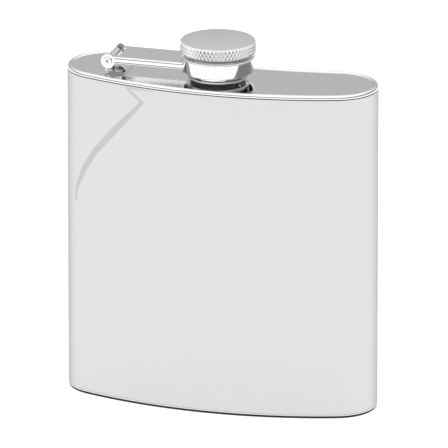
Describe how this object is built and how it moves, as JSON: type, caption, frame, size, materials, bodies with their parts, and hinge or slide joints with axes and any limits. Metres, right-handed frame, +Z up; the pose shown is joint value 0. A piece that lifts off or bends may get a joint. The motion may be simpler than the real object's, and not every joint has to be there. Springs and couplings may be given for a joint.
{
  "type": "hip flask",
  "caption": "Bowed steel hip flask with a threaded neck and a knurled screw cap held by a ring on a hinged arm.",
  "frame": {"origin": "centre of the plan outline on the plane the flask stands on", "axes": "+Z up along the neck, +X along the width away from the hinge, +Y towards the hollow back"},
  "size_m": [0.092, 0.0302, 0.1086],
  "materials": {
    "brushed_body": "upright fine brushing",
    "polished_plate": "mirror polish",
    "turned_neck": "turned",
    "bright_trim": "bright polish",
    "satin_knob": "satin top, bright knurl",
    "white_liner": "moulded",
    "soft_seal": "matt"
  },
  "bodies": {
    "flask": {"body_shell": "brushed_body", "top_plate": "polished_plate", "bottom_plate": "polished_plate", "neck_spout": "turned_neck", "hinge_bracket": "bright_trim", "hinge_pin": "bright_trim"},
    "arm": {"cap_arm": "bright_trim", "cap_collar": "bright_trim"},
    "seal": {"seal_washer": "soft_seal"},
    "cap": {"cap_skirt": "bright_trim", "thread_liner": "white_liner", "knob_shell": "satin_knob", "knob_core": "white_liner"}
  },
  "joints": [
    {"name": "arm_swing", "type": "hinge", "parent": "flask", "child": "arm", "pos_m": [-0.0312, -0.00165, 0.1009], "axis": [0, -1, 0], "range_deg": [0, 185]},
    {"name": "cap_rise", "type": "slide", "parent": "arm", "child": "seal", "axis": [0, 0, 1], "range_m": [0, 0.0045]},
    {"name": "cap_turn", "type": "hinge", "parent": "seal", "child": "cap", "pos_m": [0, -0.00165, 0.1022], "axis": [0, 0, 1], "range_deg": [0, 1080]}
  ],
  "couplings": [
    {"joint": "cap_rise", "follows": "cap_turn", "m_per_rad": 0.0002387}
  ]
}
